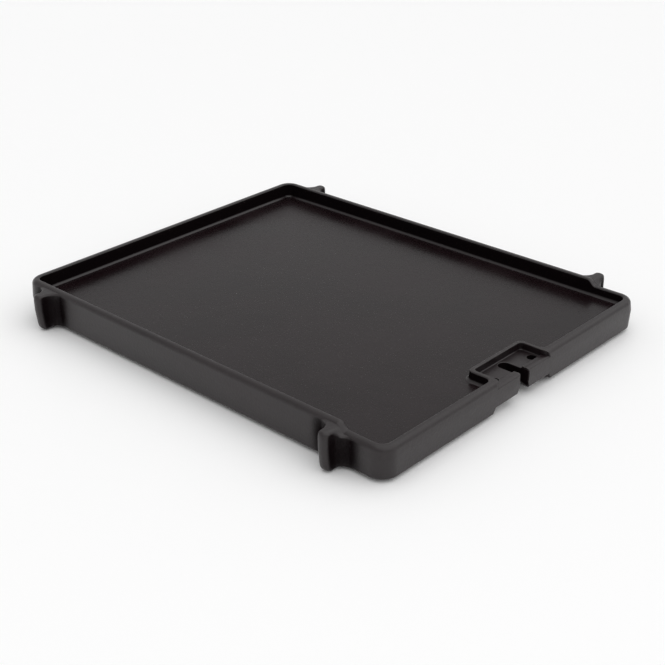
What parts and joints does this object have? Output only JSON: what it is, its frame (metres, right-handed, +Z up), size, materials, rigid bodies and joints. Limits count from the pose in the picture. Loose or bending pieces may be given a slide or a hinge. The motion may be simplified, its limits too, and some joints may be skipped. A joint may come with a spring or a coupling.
{
  "type": "camp griddle plate",
  "caption": "Rectangular cast iron griddle plate with a raised rim, hollow underside, side lugs to stand and hang it by, and a dammed socket for a lift-off handle.",
  "frame": {"origin": "middle of the plate's length and width, at the level of the lugs' tips that it stands on", "axes": "+X along the length towards the handle end, +Y towards the back long side, +Z up out of the cooking surface"},
  "size_m": [0.2872, 0.2486, 0.024],
  "materials": {
    "seasoned_iron": "satin black seasoned sand casting"
  },
  "bodies": {
    "root": {"cooking_plate": "seasoned_iron", "rim_left": "seasoned_iron", "rim_front": "seasoned_iron", "rim_back": "seasoned_iron", "rim_right_front": "seasoned_iron", "rim_right_back": "seasoned_iron", "lug_front_left": "seasoned_iron", "lug_back_left": "seasoned_iron", "lug_front_right": "seasoned_iron", "lug_back_right": "seasoned_iron", "handle_socket": "seasoned_iron"}
  },
  "joints": []
}
